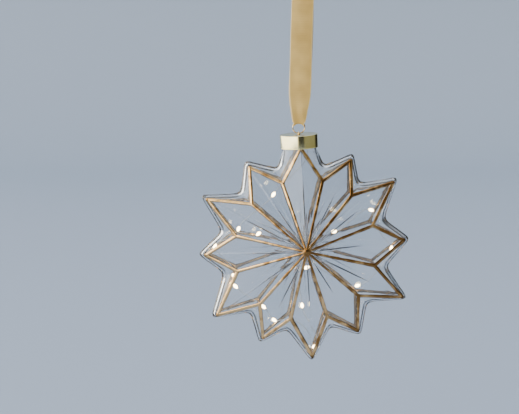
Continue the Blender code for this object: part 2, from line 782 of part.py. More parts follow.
def string_points():
    """The string from just under the cap through every light."""
    straight = BEAD_LENGTH / 2 + 0.6 * MM
    start = Vector((bush_at.x, bush_at.y, lid_under - 6.0 * MM))
    points = [start]
    leave, heading = start, Vector((0.1, 0.1, -1))
    for k in range(len(LIGHTS)):
        middle, direction = light_place(k), light_direction(k)
        arrive = middle - direction * straight
        run = (arrive - leave).length
        for step in (1, 2, 3):
            pull = run * STRING_PULL
            spot = hermite(leave, arrive, heading * pull, direction * pull, step / 4)
            bow = share_of_star(*STRING_BOWS.get(k, (0, 0, 0)))
            points.append(spot + bow * math.sin(math.pi * step / 4))
        points.append(arrive)
        leave, heading = middle + direction * straight, direction
        points.append(leave)
    return points


wire("light_string", string_points(), STRING_RADIUS, star, SILVER)
lead_top = board_under - TOUCH
lead_end = lid_under - 6.0 * MM + TOUCH
lead_hole = rod(STRING_RADIUS + TOUCH, 6 * MM, 12)
cut(holder, mesh_object("lead_hole", lead_hole, star, None, (bush_at.x, bush_at.y, flange_top)))
lead_points = [(bush_at.x, bush_at.y, lead_top + (lead_end - lead_top) * i / 6) for i in range(7)]
wire("wire_lead", lead_points, STRING_RADIUS, star, SILVER)

hole = STRING_RADIUS + TOUCH
bead_outline = [
    (hole, -BEAD_LENGTH / 2),
    (BEAD_RADIUS * 0.7, -BEAD_LENGTH / 2),
    (BEAD_RADIUS, -BEAD_LENGTH * 0.22),
    (BEAD_RADIUS, BEAD_LENGTH * 0.22),
    (BEAD_RADIUS * 0.7, BEAD_LENGTH / 2),
    (hole, BEAD_LENGTH / 2),
]
bead_mesh = None
for k in range(len(LIGHTS)):
    turn = Vector((0, 0, 1)).rotation_difference(light_direction(k)).to_euler()
    bead_name = f"light_{k + 1:02d}"
    if bead_mesh is None:
        bead = mesh_object(bead_name, turned(bead_outline, 10), star, LIGHT, smooth=40)
        bead_mesh = bead.data
    else:
        bead = bpy.data.objects.new(bead_name, bead_mesh)
        bpy.context.collection.objects.link(bead)
        bead.parent = star
    bead.location = light_place(k)
    bead.rotation_euler = turn
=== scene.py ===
import json
import math
import random

import bmesh
import bpy
from mathutils import Matrix, Vector
from mathutils.bvhtree import BVHTree


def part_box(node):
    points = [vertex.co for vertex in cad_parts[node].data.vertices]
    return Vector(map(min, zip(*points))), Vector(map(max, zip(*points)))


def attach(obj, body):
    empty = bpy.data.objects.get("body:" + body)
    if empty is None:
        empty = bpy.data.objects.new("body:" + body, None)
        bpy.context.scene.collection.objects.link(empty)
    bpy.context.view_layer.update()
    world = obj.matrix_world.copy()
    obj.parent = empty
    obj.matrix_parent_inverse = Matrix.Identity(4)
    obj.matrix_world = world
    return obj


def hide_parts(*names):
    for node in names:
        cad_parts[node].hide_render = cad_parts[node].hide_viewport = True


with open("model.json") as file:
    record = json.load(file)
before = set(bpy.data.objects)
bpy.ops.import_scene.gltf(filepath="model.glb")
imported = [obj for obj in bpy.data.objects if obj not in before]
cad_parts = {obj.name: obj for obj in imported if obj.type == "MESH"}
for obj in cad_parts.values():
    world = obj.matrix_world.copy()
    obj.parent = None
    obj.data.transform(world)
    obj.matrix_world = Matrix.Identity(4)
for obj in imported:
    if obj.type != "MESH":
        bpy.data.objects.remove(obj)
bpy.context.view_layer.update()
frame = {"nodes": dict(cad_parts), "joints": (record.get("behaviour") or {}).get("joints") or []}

# ---- where the star hangs, and the camera --------------------------------------------------------
# The star's own frame: its middle and its upright, a little out of plumb, are those of the lid's
# hinge. What belongs to the star is made in that frame, then put into place.
MM = 0.001
joints = {joint["name"]: joint for joint in frame["joints"]}
star_middle = Vector(joints["lid_turn"]["pos_m"])
star_up = Vector(joints["lid_turn"]["axis"]).normalized()
star_across = Vector((star_up.z, 0.0, -star_up.x))
into_place = Matrix((
    (star_across.x, 0.0, star_up.x, star_middle.x),
    (star_across.y, 1.0, star_up.y, star_middle.y),
    (star_across.z, 0.0, star_up.z, star_middle.z),
    (0.0, 0.0, 0.0, 1.0),
))

camera_aim = star_middle + Vector((-37.6, 0.0, 34.6)) * MM
camera_distance = 1.664
camera_left = math.radians(3.6)
camera_rise = math.radians(8.4)
camera_data = bpy.data.cameras.new("camera")
camera_data.lens = 138.7
camera_data.sensor_width = 36.0
camera = bpy.data.objects.new("camera", camera_data)
bpy.context.scene.collection.objects.link(camera)
looking_from = Vector((
    -math.sin(camera_left) * math.cos(camera_rise),
    -math.cos(camera_left) * math.cos(camera_rise),
    math.sin(camera_rise),
))
camera.location = camera_aim + looking_from * camera_distance
camera.rotation_euler = (-looking_from).to_track_quat("-Z", "Y").to_euler()
bpy.context.scene.camera = camera

# ---- satin ribbon --------------------------------------------------------------------------------
# One length of champagne satin ribbon, 18 mm wide, closed into a loop. The two strands hang one
# behind the other, gather into pleats low down and thread the ring; the top turn rides on a hook.


def new_piece(name, bm, smooth=None):
    """Link a bmesh as a named piece whose place is in its mesh."""
    mesh = bpy.data.meshes.new(name)
    bm.to_mesh(mesh)
    bm.free()
    if smooth is not None:
        mesh.shade_smooth()
        mesh.set_sharp_from_angle(angle=math.radians(smooth))
    piece = bpy.data.objects.new(name, mesh)
    bpy.context.scene.collection.objects.link(piece)
    return piece


def settled(piece):
    """Apply the piece's modifiers, so that its mesh is final."""
    bpy.context.view_layer.update()
    final = bpy.data.meshes.new_from_object(
        piece.evaluated_get(bpy.context.evaluated_depsgraph_get())
    )
    piece.modifiers.clear()
    piece.data = final
    return piece


def fill_in(tree, made, inputs):
    """Set a node's inputs, each to a value or to the output that feeds it."""
    for socket, value in inputs.items():
        if isinstance(value, bpy.types.NodeSocket):
            tree.links.new(value, made.inputs[socket])
        else:
            made.inputs[socket].default_value = value


def new_node(tree, kind, inputs=(), **settings):
    """Add a node with its settings and its inputs."""
    made = tree.nodes.new(kind)
    for setting, value in settings.items():
        setattr(made, setting, value)
    fill_in(tree, made, dict(inputs))
    return made


def number(tree, operation, *values):
    """What a Math node makes of the values."""
    made = new_node(tree, "ShaderNodeMath", enumerate(values), operation=operation)
    return made.outputs[0]


def vector(tree, operation, first, second):
    """What a Vector Math node makes of two values."""
    other = "Scale" if operation == "SCALE" else 1
    made = new_node(tree, "ShaderNodeVectorMath", {0: first, other: second}, operation=operation)
    return made.outputs["Value" if operation in ("DISTANCE", "DOT_PRODUCT") else "Vector"]


def variation_group():
    """Slow and fine unevenness of a surface, as two masks."""
    tree = bpy.data.node_groups.new("surface variation", "ShaderNodeTree")
    tree.interface.new_socket("Scale", in_out="INPUT", socket_type="NodeSocketFloat")
    for mask in ("Broad", "Fine"):
        tree.interface.new_socket(mask, in_out="OUTPUT", socket_type="NodeSocketFloat")
    entry, leave = tree.nodes.new("NodeGroupInput"), tree.nodes.new("NodeGroupOutput")
    place = tree.nodes.new("ShaderNodeTexCoord").outputs["Object"]
    for mask, share, detail in (("Broad", 1.0, 2.0), ("Fine", 9.0, 4.0)):
        scale = number(tree, "MULTIPLY", entry.outputs["Scale"], share)
        noise = new_node(
            tree, "ShaderNodeTexNoise", {"Vector": place, "Scale": scale, "Detail": detail}
        )
        fill_in(tree, leave, {mask: noise.outputs["Fac"]})
    return tree


surface_variation = variation_group()


def start_material(name, metallic=0.0, scale=60.0):
    """A material with the unevenness masks ready: material, tree, shader and both masks."""
    made = bpy.data.materials.new(name)
    made.use_nodes = True
    tree = made.node_tree
    shader = tree.nodes["Principled BSDF"]
    shader.inputs["Metallic"].default_value = metallic
    masks = new_node(tree, "ShaderNodeGroup", node_tree=surface_variation)
    masks.inputs["Scale"].default_value = scale
    return made, tree, shader, masks.outputs["Broad"], masks.outputs["Fine"]


def two_tone(tree, mask, dark, light, low=0.3, high=0.7):
    """Colour that runs from dark to light as the mask rises."""
    made = new_node(tree, "ShaderNodeValToRGB", {"Fac": mask})
    for stop, position, color in zip(made.color_ramp.elements, (low, high), (dark, light)):
        stop.position = position
        stop.color = (*color, 1.0)
    return made.outputs["Color"]


def mixed(tree, share, usual, other):
    """The usual colour, turning to the other one as the share rises to 1."""
    colors = {"Factor": share, "A": usual, "B": other}
    return new_node(tree, "ShaderNodeMix", colors, data_type="RGBA").outputs["Result"]


def spread(tree, mask, low, high, start=0.3, end=0.7):
    """A value that runs from low to high while the mask runs from start to end."""
    ends = {"From Min": start, "From Max": end, "To Min": low, "To Max": high}
    return new_node(tree, "ShaderNodeMapRange", {"Value": mask, **ends}).outputs["Result"]


def raised(tree, height, strength, distance):
    """Bump of a height pattern."""
    sizes = {"Strength": strength, "Distance": distance}
    return new_node(tree, "ShaderNodeBump", {"Height": height, **sizes}).outputs["Normal"]


def coat(piece, material):
    """Make this the piece's only material."""
    piece.data.materials.clear()
    piece.data.materials.append(material)


def satin_material():
    """Tight weft threads across the ribbon, a soft lengthwise sheen, and a painted highlight that
    makes both edges paler.
    """
    made, tree, shader, broad, fine = start_material("champagne satin", scale=55.0)
    uv = new_node(tree, "ShaderNodeUVMap", uv_map="weave")
    parts = new_node(tree, "ShaderNodeSeparateXYZ", {"Vector": uv.outputs["UV"]})
    weft, warp = [
        number(tree, "SINE", number(tree, "MULTIPLY", parts.outputs[axis], count))
        for axis, count in (("Y", 3.2 / MM), ("X", 270.0))
    ]
    off_centre = number(tree, "ABSOLUTE", number(tree, "SUBTRACT", parts.outputs["X"], 0.5))
    # Painted highlight: a paler band of colour along each edge of the ribbon.
    edge_highlight = two_tone(tree, off_centre, (0.0, 0.0, 0.0), (1.0, 1.0, 1.0), 0.455, 0.475)
    tone = two_tone(tree, broad, (0.60, 0.395, 0.130), (0.77, 0.545, 0.205))
    fill_in(tree, shader, {
        "Base Color": mixed(tree, edge_highlight, tone, (0.80, 0.62, 0.34, 1.0)),
        "Roughness": spread(tree, fine, 0.36, 0.5),
        "Sheen Weight": 0.35,
        "Sheen Roughness": 0.35,
        "Specular IOR Level": 0.65,
        "Anisotropic": 0.6,
        "Normal": raised(tree, number(tree, "MULTIPLY_ADD", warp, 0.35, weft), 0.35, 0.00006),
    })
    return made


ribbon_width = 18.3 * MM
fold_width = 8.4 * MM
ribbon_drop = -joints["ring_swing"]["pos_m"][2]
ribbon_lean = joints["ring_swing"]["pos_m"][0]
loop_radius = 3.1 * MM
fold_radius = 2.05 * MM
pleat_depth, cross_bow, strand_drift = 0.6 * MM, 0.35 * MM, 0.45 * MM
arch_reach = 9 * MM
ring_radius = (joints["ring_swing"]["pos_m"][2] - joints["ornament_swing"]["pos_m"][2]) / 2
gather_height = 34.0 * MM


def ribbon_run():
    """(height, depth) once round the loop: over the top, down the front, up the back."""
    top, low = -loop_radius, -ribbon_drop - 0.1 * MM
    over, straight, under = 14, 70, 12
    run = []
    for i in range(over):
        angle = math.pi * i / over
        run.append((top + loop_radius * math.sin(angle), loop_radius * math.cos(angle)))
    for i in range(straight):
        share = i / straight
        half_gap = loop_radius + (fold_radius - loop_radius) * share
        run.append((top + (low - top) * share, -half_gap))
    for i in range(under):
        angle = math.pi * i / under
        run.append((low - fold_radius * math.sin(angle), -fold_radius * math.cos(angle)))
    for i in range(straight):
        share = 1 - i / straight
        half_gap = loop_radius + (fold_radius - loop_radius) * share
        run.append((top + (low - top) * share, half_gap))
    return run


def ribbon_spot(height, depth, across, strand):
    """A point of the ribbon: it narrows by pleating, and arches over the ring's wire."""
    above = max(0.0, height + ribbon_drop)
    open_share = min(1.0, above / gather_height)
    open_share = 1 - (1 - open_share) ** 2.4
    x = across * (fold_width + (ribbon_width - fold_width) * open_share)
    pleat = (1 - open_share) * pleat_depth * math.cos(across * math.tau * 1.5 + 0.9 + above * 60)
    near_ring = max(0.0, 1 - above / arch_reach) ** 0.7
    arch = (ring_radius - math.sqrt(max(ring_radius**2 - x * x, 1e-9))) * near_ring
    lean = ribbon_lean * min(1.0, -height / ribbon_drop) ** 1.3
    drift = strand * strand_drift * open_share * math.sin(height * 38)
    bow = math.copysign(cross_bow, depth) * math.cos(across * math.pi) * open_share
    return Vector((x + lean + drift, depth + pleat * (1 - near_ring) + bow, height - arch))


ribbon_mesh = bmesh.new()
weave_map = ribbon_mesh.loops.layers.uv.new("weave")
ribbon_columns = 36
ribbon_rows, run_lengths, run_length = [], [], 0.0
run = ribbon_run()
for i, (height, depth) in enumerate(run):
    strand = 1 if depth < 0 else -1
    ribbon_rows.append([
        ribbon_mesh.verts.new(ribbon_spot(height, depth, c / ribbon_columns - 0.5, strand))
        for c in range(ribbon_columns + 1)
    ])
    run_lengths.append(run_length)
    after = run[(i + 1) % len(run)]
    run_length += math.hypot(after[0] - height, after[1] - depth)
run_lengths.append(run_length)
for i, row in enumerate(ribbon_rows):
    below = ribbon_rows[(i + 1) % len(ribbon_rows)]
    for c in range(ribbon_columns):
        face = ribbon_mesh.faces.new((row[c], row[c + 1], below[c + 1], below[c]))
        for loop, (u, v) in zip(face.loops, ((c, i), (c + 1, i), (c + 1, i + 1), (c, i + 1))):
            loop[weave_map].uv = (u / ribbon_columns, run_lengths[v])
bmesh.ops.recalc_face_normals(ribbon_mesh, faces=ribbon_mesh.faces)
ribbon = new_piece("satin_ribbon", ribbon_mesh, smooth=70)
ribbon_thickness = ribbon.modifiers.new("thickness", "SOLIDIFY")
ribbon_thickness.thickness = 0.25 * MM
ribbon_thickness.offset = 0.0
settled(ribbon)
coat(ribbon, satin_material())
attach(ribbon, "ribbon")
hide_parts("ribbon")

# ---- hanging ring and wire eye -------------------------------------------------------------------
# Gold-coloured brass wire, just under 1 mm thick. The ring is a split ring of two turns lying side
# by side. The eye is one bent wire; its feet go through the cap and turn out under it.


def gold_wire_material():
    """Bright gold-plated wire with faint drawing marks."""
    made, tree, shader, broad, fine = start_material("gold wire", metallic=1.0, scale=400.0)
    fill_in(tree, shader, {
        "Base Color": two_tone(tree, broad, (0.42, 0.27, 0.10), (0.90, 0.70, 0.38)),
        "Roughness": spread(tree, fine, 0.10, 0.22),
        "Normal": raised(tree, fine, 0.12, 0.00005),
    })
    return made


def bent_wire(name, points, radius, material, sides=16):
    """Round wire through a list of points, with domed ends."""
    bm = bmesh.new()
    rings = []
    last = len(points) - 1
    normal = (points[1] - points[0]).normalized().orthogonal().normalized()
    for i, point in enumerate(points):
        along = (points[min(i + 1, last)] - points[max(i - 1, 0)]).normalized()
        normal = (normal - along * normal.dot(along)).normalized()
        side = along.cross(normal)
        scale = radius * 0.72 if i in (0, last) else radius
        ring = []
        for s in range(sides):
            turn = math.tau * s / sides
            reach = normal * math.cos(turn) + side * math.sin(turn)
            ring.append(bm.verts.new(point + reach * scale))
        rings.append(ring)
    for here, there in zip(rings, rings[1:]):
        for s in range(sides):
            t = (s + 1) % sides
            bm.faces.new((here[s], here[t], there[t], there[s]))
    bm.faces.new(rings[0])
    bm.faces.new(rings[-1])
    bmesh.ops.recalc_face_normals(bm, faces=bm.faces)
    wire = new_piece(name, bm, smooth=50)
    coat(wire, material)
    return wire


gold_wire = gold_wire_material()
ring_wire = 0.5 * MM
turn_wire, turn_offset = 0.4 * MM, 0.39 * MM
ring_steps, crossing = 192, 0.07
ring_middle = Vector(joints["ring_swing"]["pos_m"]) - Vector((0, 0, ring_radius))
ring_points = []
for i in range(ring_steps + 1):
    share = i / ring_steps
    angle = math.radians(205) + 2 * math.tau * share
    aside = turn_offset * max(-1.0, min(1.0, (share - 0.5) / crossing))
    reach = Vector((-math.sin(angle), 0, math.cos(angle))) * ring_radius
    ring_points.append(ring_middle + reach + Vector((0, aside, 0)))
ring = bent_wire("split_ring", ring_points, turn_wire, gold_wire)
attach(ring, "ring")
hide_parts("hanger_ring")

eye_wire = 0.45 * MM
cap_top = 95.4 * MM
cap_under = cap_top - 1.0 * MM
eye_half = 1.3 * MM
eye_bend, foot_length, clearance = 1.3 * eye_wire, 1.7 * MM, 0.3 * MM
ring_over_cap = (Vector(joints["ornament_swing"]["pos_m"]) - star_middle).length - cap_top
eye_spring = cap_top + ring_over_cap + ring_wire + clearance + eye_wire - eye_half
foot_height = cap_under - clearance - eye_wire
eye_side = [Vector((0, -eye_half - foot_length, foot_height))]
for i in range(7):
    turn = math.pi / 2 * i / 6
    out, rise = eye_bend * (1 - math.sin(turn)), eye_bend * (1 - math.cos(turn))
    eye_side.append(Vector((0, -eye_half - out, foot_height + rise)))
eye_points = list(eye_side)
for i in range(25):
    turn = math.pi * i / 24
    spot = Vector((0, -eye_half * math.cos(turn), eye_spring + eye_half * math.sin(turn)))
    eye_points.append(spot)
eye_points += [Vector((0, -p.y, p.z)) for p in reversed(eye_side)]
eye = bent_wire("wire_eye", [into_place @ p for p in eye_points], eye_wire, gold_wire)
binding_wire, binding_turns, binding_steps = 0.3 * MM, 2.2, 60
binding_thin, binding_wide = 0.95 * MM, eye_half + eye_wire * 2.1
binding_points = []
for i in range(binding_steps + 1):
    turn = math.tau * binding_turns * i / binding_steps
    height = cap_top + eye_wire * 0.75 + 0.62 * MM * i / binding_steps
    spot = Vector((binding_thin * math.cos(turn), binding_wide * math.sin(turn), height))
    binding_points.append(into_place @ spot)
binding = bent_wire("eye_binding", binding_points, binding_wire, gold_wire, sides=10)
for piece in (eye, binding):
    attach(piece, "cap")
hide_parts("hanger_eye")

# ---- cap -----------------------------------------------------------------------------------------
# A drawn metal cap with a mirror-bright champagne skin: sharp top edge, plain wall and a narrow
# rolled lip at the bottom. Two holes take the eye's feet and a slot at the back takes the switch.


def cap_material():
    """Bright champagne metal: faint turning marks on top and wall, hairline wear."""
    made, tree, shader, broad, fine = start_material("champagne metal", metallic=1.0, scale=70.0)
    place = tree.nodes.new("ShaderNodeTexCoord").outputs["Object"]
    marks = new_node(
        tree, "ShaderNodeTexWave", {"Scale": 900.0, "Distortion": 1.5, "Vector": place},
        wave_type="BANDS", bands_direction="Z",
    )
    fill_in(tree, shader, {
        "Base Color": two_tone(tree, broad, (0.86, 0.78, 0.43), (0.94, 0.87, 0.54)),
        "Roughness": spread(tree, fine, 0.13, 0.20),
        "Anisotropic": 0.25,
        "Normal": raised(tree, marks.outputs["Fac"], 0.05, 0.00003),
    })
    return made


def turned(outline, steps):
    """A closed outline of (radius, height) spun round the star's upright."""
    bm = bmesh.new()
    verts = [bm.verts.new((r, 0.0, z)) for r, z in outline]
    edges = [bm.edges.new((verts[i], verts[(i + 1) % len(verts)])) for i in range(len(verts))]
    bmesh.ops.spin(
        bm, geom=verts + edges, cent=(0, 0, 0), axis=(0, 0, 1),
        angle=math.tau, steps=steps, use_merge=True,
    )
    bmesh.ops.remove_doubles(bm, verts=bm.verts, dist=1e-7)
    flat = [f for f in bm.faces if f.calc_area() < 1e-14]
    bmesh.ops.delete(bm, geom=flat, context="FACES_ONLY")
    loose = [e for e in bm.edges if not e.link_faces]
    bmesh.ops.delete(bm, geom=loose, context="EDGES")
    bmesh.ops.recalc_face_normals(bm, faces=bm.faces)
    return bm


def carve(piece, cutter):
    """Cut a guide body out of a piece and throw the guide away."""
    modifier = piece.modifiers.new("cut", "BOOLEAN")
    modifier.operation = "DIFFERENCE"
    modifier.solver = "EXACT"
    modifier.object = cutter
    settled(piece)
    bpy.data.objects.remove(cutter)


def node_middle(node):
    """The middle of a CAD node, in the star's own frame."""
    low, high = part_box(node)
    return into_place.inverted() @ ((low + high) / 2)


cap_radius = 15.7 * MM
cap_base = cap_top - 11.2 * MM
cap_bore = cap_radius - 0.8 * MM
cap_edge = 0.35 * MM
cap_outline = [(0, cap_top)]
for i in range(7):
    turn = math.pi / 2 * i / 6
    out, rise = cap_edge * (math.sin(turn) - 1), cap_edge * (math.cos(turn) - 1)
    cap_outline.append((cap_radius + out, cap_top + rise))
cap_outline += [
    (cap_radius, cap_base + 0.95 * MM),
    (cap_radius - 0.10 * MM, cap_base + 0.85 * MM),
    (cap_radius - 0.10 * MM, cap_base + 0.75 * MM),
    (cap_radius + 0.05 * MM, cap_base + 0.58 * MM),
    (cap_radius + 0.10 * MM, cap_base + 0.32 * MM),
    (cap_radius + 0.02 * MM, cap_base + 0.08 * MM),
    (cap_radius - 0.2 * MM, cap_base),
    (cap_bore, cap_base),
    (cap_bore, cap_under),
    (0, cap_under),
]
cap = new_piece("cap_skin", turned(cap_outline, 144))
knob_middle = node_middle("switch_knob")
slot_size = (6.3 * MM, 4.0 * MM, 1.6 * MM)
slot = bmesh.new()
bmesh.ops.create_cube(slot, size=1.0)
bmesh.ops.scale(slot, vec=slot_size, verts=slot.verts)
bmesh.ops.bevel(slot, geom=slot.edges[:], offset=0.25 * MM, segments=2, affect="EDGES")
bmesh.ops.translate(slot, vec=(0, cap_radius, knob_middle.z), verts=slot.verts)
carve(cap, new_piece("slot_guide", slot))
hole_radius = 0.8 * MM
for side in (-1, 1):
    hole = bmesh.new()
    bmesh.ops.create_cone(
        hole, cap_ends=True, segments=24, radius1=hole_radius, radius2=hole_radius, depth=3 * MM
    )
    bmesh.ops.translate(hole, vec=(0, side * eye_half, cap_under), verts=hole.verts)
    carve(cap, new_piece("hole_guide", hole))
cap.data.transform(into_place)
cap.data.shade_smooth()
cap.data.set_sharp_from_angle(angle=math.radians(35))
coat(cap, cap_material())
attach(cap, "cap")
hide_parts("cap_shell")

# ---- blown glass star ----------------------------------------------------------------------------
# Clear glass blown into a two-part mould: twelve points, long and short in turn, each a flat kite
# on either face, with sloping flanks that meet in a soft rim. The wall is 1.4 mm, thicker towards
# the rim, and the neck is open. Fine flutes run out from the middle of each face.
points = 12
long_point, short_point, notch = 92.3 * MM, 83.3 * MM, 59.5 * MM
rim_long, rim_short, rim_notch = 94.6 * MM, 85.6 * MM, 72.3 * MM
neck_point, rim_neck = 85.7 * MM, 100.5 * MM
face_depth, notch_depth, tip_depth = 23.4 * MM, 12.3 * MM, 6.8 * MM
neck_radius, glass_wall, rim_wall = 13.7 * MM, 1.44 * MM, 2.6 * MM
flute_depth, crease_depth, flank_bulge = 0.0080, 0.55 * MM, 0.8 * MM
point_lean = (0, 0, 4, 1.5, 0, -0.5, 1, 2, 4, 0, -0.5, 1)
notch_lean = (-1.5, 2, 1.5, -1.5, 0.5, 0, 0, 2, -1, 0, 1, 1)


def polar(radius, angle, depth):
    """A point in the star's frame; depth is towards the front."""
    return Vector((radius * math.cos(angle), -depth, radius * math.sin(angle)))


def point_corner(k, rounding=0.0):
    """Gold tip and rim tip of point k."""
    angle = math.radians(90 - 30 * (k % points) + point_lean[k % points])
    if k % points == 0:
        return polar(neck_point, angle, neck_radius), polar(rim_neck, angle, 0)
    reach, rim = (long_point, rim_long) if k % 2 == 0 else (short_point, rim_short)
    return polar(reach + rounding * 0.3, angle, tip_depth), polar(rim + rounding, angle, 0)


def notch_corner(k):
    """Gold corner and rim corner between point k and the next."""
    angle = math.radians(90 - 30 * (k % points + 0.5) + notch_lean[k % points])
    return polar(notch, angle, notch_depth), polar(rim_notch, angle, 0)


def glass_skin():
    """The outer skin of the glass, open at the neck."""
    bm = bmesh.new()
    steps, face_rows, flank_rows = 14, 28, 9
    rounding, soft_below = 4.4 * MM, 84.5 * MM
    rng = random.Random(7)
    corners = []
    for k in range(points):
        corners.append(point_corner(k, rounding))
        corners.append(notch_corner(k))
    middle = Vector((0, -face_depth, 0))
    columns = []
    for i, (gold, rim) in enumerate(corners):
        gold_next, rim_next = corners[(i + 1) % len(corners)]
        for step in range(steps):
            share = step / steps
            edge = gold.lerp(gold_next, share)
            outer = rim.lerp(rim_next, share)
            flute = rng.choice((-1.0, -0.6, -0.2, 0.0, 0.0, 0.3, 0.7, 1.0)) * flute_depth
            crease = crease_depth if step == 0 and i % 2 == 0 else 0.0
            column = []
            for row in range(1, face_rows + 1):
                t = (row / face_rows) ** 1.15
                spot = middle.lerp(edge, t)
                fade = max(0.0, 1 - t / 0.66) * min(1.0, t / 0.25)
                spot.y += flute * (edge - middle).length * t * fade
                spot.y -= crease * min(1.0, t / 0.3) * (1 - t**6)
                column.append(spot)
            for row in range(1, flank_rows + 1):
                t = row / flank_rows
                spot = edge.lerp(outer, t)
                out = Vector((spot.x, 0, spot.z)).normalized()
                column.append(spot + out * math.sin(t * math.pi) * flank_bulge)
            columns.append(column)
    front = bm.verts.new(middle)
    back = bm.verts.new((0, face_depth, 0))
    made = []
    for column in columns:
        near = [bm.verts.new(p) for p in column]
        far = [bm.verts.new((p.x, -p.y, p.z)) for p in column[:-1]]
        made.append(near + far[::-1])
    for i, column in enumerate(made):
        following = made[(i + 1) % len(made)]
        bm.faces.new((front, column[0], following[0]))
        bm.faces.new((back, following[-1], column[-1]))
        for a in range(len(column) - 1):
            bm.faces.new((column[a], column[a + 1], following[a + 1], following[a]))
    draw_up_neck(bm)
    bmesh.ops.recalc_face_normals(bm, faces=bm.faces)
    soft = [v for v in bm.verts if v.co.z < soft_below]
    rim = [v for v in soft if abs(v.co.y) < tip_depth * 0.8]
    for some, times in ((soft, 1), (rim, 9)):
        for _ in range(times):
            bmesh.ops.smooth_vert(
                bm, verts=some, factor=0.5, use_axis_x=True, use_axis_y=True, use_axis_z=True
            )
    return bm


def draw_up_neck(bm):
    """Open the top point and draw it up into the round neck."""
    cut_height, shoulder, flank_limit = 70.4 * MM, 84.6 * MM, 21.2 * MM
    zone_height, zone_half, cut_half = 50 * MM, 30 * MM, 26 * MM
    near_neck = [f for f in bm.faces if f.calc_center_median().z > zone_height]
    near_neck = [f for f in near_neck if abs(f.calc_center_median().x) < zone_half]
    held = {g for f in near_neck for g in (*f.verts, *f.edges)}
    region = [f for f in near_neck if abs(f.calc_center_median().x) < cut_half]
    region += [g for g in (*bm.verts, *bm.edges) if g in held]
    bmesh.ops.bisect_plane(
        bm, geom=region, dist=1e-7, plane_co=(0, 0, cut_height), plane_no=(0, 0, 1)
    )
    gone = [v for v in bm.verts if v.co.z > cut_height + 1e-6 and abs(v.co.x) < flank_limit]
    bmesh.ops.delete(bm, geom=gone, context="VERTS")
    mouth = [e for e in bm.edges if len(e.link_faces) == 1]
    wide = max(abs(v.co.x) for e in mouth for v in e.verts)
    deep = max(abs(v.co.y) for e in mouth for v in e.verts)
    heights_mm = (71.5, 72.7, 74, 75.3, 76.6, 77.9, 79.2, 80.3, 81.4, 82.6, 84, 86, 88, 90)
    ring_now = {v: v for e in mouth for v in e.verts}
    loop_edges = [(e.verts[0], e.verts[1]) for e in mouth]
    home = {v: v.co.copy() for v in ring_now}
    for height_mm in heights_mm:
        z = height_mm * MM
        share = min(1.0, (z - cut_height) / (shoulder - cut_height))
        fresh = {}
        for v in ring_now:
            angle = math.atan2(home[v].y / deep, home[v].x / wide)
            goal = Vector((neck_radius * math.cos(angle), neck_radius * math.sin(angle), z))
            fresh[v] = bm.verts.new(Vector((home[v].x, home[v].y, z)).lerp(goal, share))
        for a, b in loop_edges:
            bm.faces.new((ring_now[a], ring_now[b], fresh[b], fresh[a]))
        ring_now = fresh


def glass_material():
    """Clear soda glass: slow ripples from blowing, a trace of haze, a faint cool tint."""
    made, tree, shader, broad, fine = start_material("clear glass", scale=26.0)
    fill_in(tree, shader, {
        "Base Color": two_tone(tree, broad, (0.93, 0.955, 0.98), (0.985, 0.99, 1.0)),
        "Roughness": spread(tree, fine, 0.0, 0.03),
        "Transmission Weight": 0.96,
        "IOR": 1.50,
        "Normal": raised(tree, broad, 0.12, 0.0010),
    })
    return made


skin = glass_skin()
skin_tree = BVHTree.FromBMesh(skin)
glass = new_piece("blown_glass_star", skin)
glass.data.shade_smooth()
thickness = glass.vertex_groups.new(name="thickness")
thin_share, thick_reach, thick_below = glass_wall / rim_wall, 5.5 * MM, 82 * MM
for vert in glass.data.vertices:
    near_rim = max(0.0, 1 - abs(vert.co.y) / thick_reach) if vert.co.z < thick_below else 0.0
    share = thin_share + (1 - thin_share) * min(1.0, near_rim * 1.6)
    thickness.add([vert.index], share, "REPLACE")
wall = glass.modifiers.new("wall", "SOLIDIFY")
wall.thickness = rim_wall
wall.vertex_group = "thickness"
wall.offset = -1.0
wall.use_even_offset = False
settled(glass)
glass.data.transform(into_place)
coat(glass, glass_material())
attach(glass, "star")
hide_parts("glass_star")

# ---- raised gold lines ---------------------------------------------------------------------------
# Thick metallic paint laid by hand along every edge of both faces, 2 to 3 mm wide and gently
# domed, fuller where lines meet and with a drop of its own in the middle of the face.


def gold_paint_material():
    """Warm metallic paint with a fine grain, browner near the hub, and darker towards the star's
    right side as painted shade.
    """
    made, tree, shader, broad, fine = start_material("gold paint", metallic=1.0, scale=110.0)
    place = tree.nodes.new("ShaderNodeTexCoord").outputs["Object"]
    across = new_node(tree, "ShaderNodeSeparateXYZ", {"Vector": place}).outputs["X"]
    # Painted shade: the tone falls as X rises, so lines on the star's right side are browner; the
    # broad noise adds a random tone on top.
    drift = number(tree, "MULTIPLY_ADD", across, -2.2, broad)
    hub = spread(tree, vector(tree, "DISTANCE", place, star_middle), 0.16, 0.0, 26 * MM, 42 * MM)
    paint_tone_and_side_shade = number(tree, "SUBTRACT", drift, hub)
    tone = two_tone(tree, paint_tone_and_side_shade, (0.34, 0.19, 0.075), (0.94, 0.64, 0.33), 0.34, 0.58)
    # The dark brown mixed onto the steep flanks of each bead is painted shade.
    under = new_node(tree, "ShaderNodeAttribute", attribute_name="under").outputs["Fac"]
    fill_in(tree, shader, {
        "Base Color": mixed(tree, under, tone, (0.12, 0.058, 0.02, 1.0)),
        "Roughness": spread(tree, fine, 0.17, 0.29),
        "Normal": raised(tree, fine, 0.3, 0.00012),
    })
    return made


